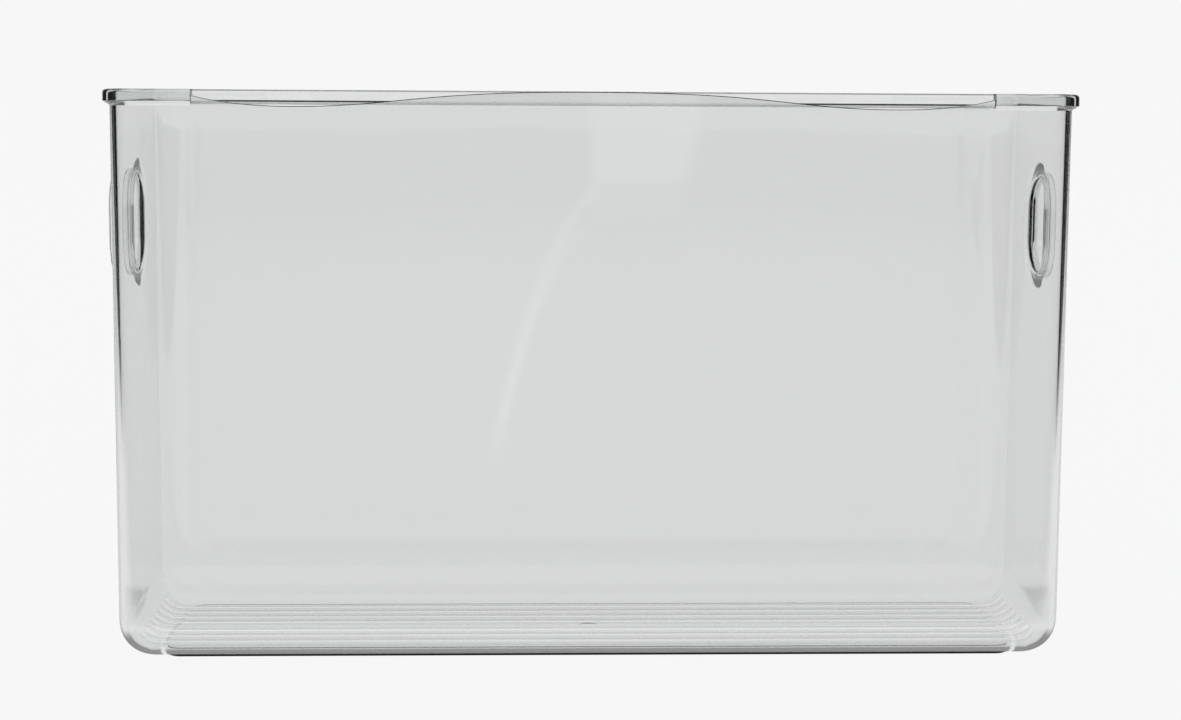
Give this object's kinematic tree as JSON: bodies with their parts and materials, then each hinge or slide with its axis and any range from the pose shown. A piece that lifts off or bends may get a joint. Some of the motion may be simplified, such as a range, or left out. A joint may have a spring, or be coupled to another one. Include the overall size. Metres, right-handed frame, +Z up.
{
  "type": "storage bin",
  "caption": "Clear open-topped storage bin, long and narrow, with a rolled rim, a waved front edge, a rolled finger hole in each end and a ribbed floor.",
  "frame": {"origin": "middle of the face that the bin stands on", "axes": "+X along the bin, through its two finger holes; the waved front edge faces -Y; +Z up"},
  "size_m": [0.3872, 0.1064, 0.225],
  "materials": {
    "clear_plastic": "clear, polished, faintly grey in thickness"
  },
  "bodies": {
    "root": {"bin_body": "clear_plastic"}
  },
  "joints": []
}
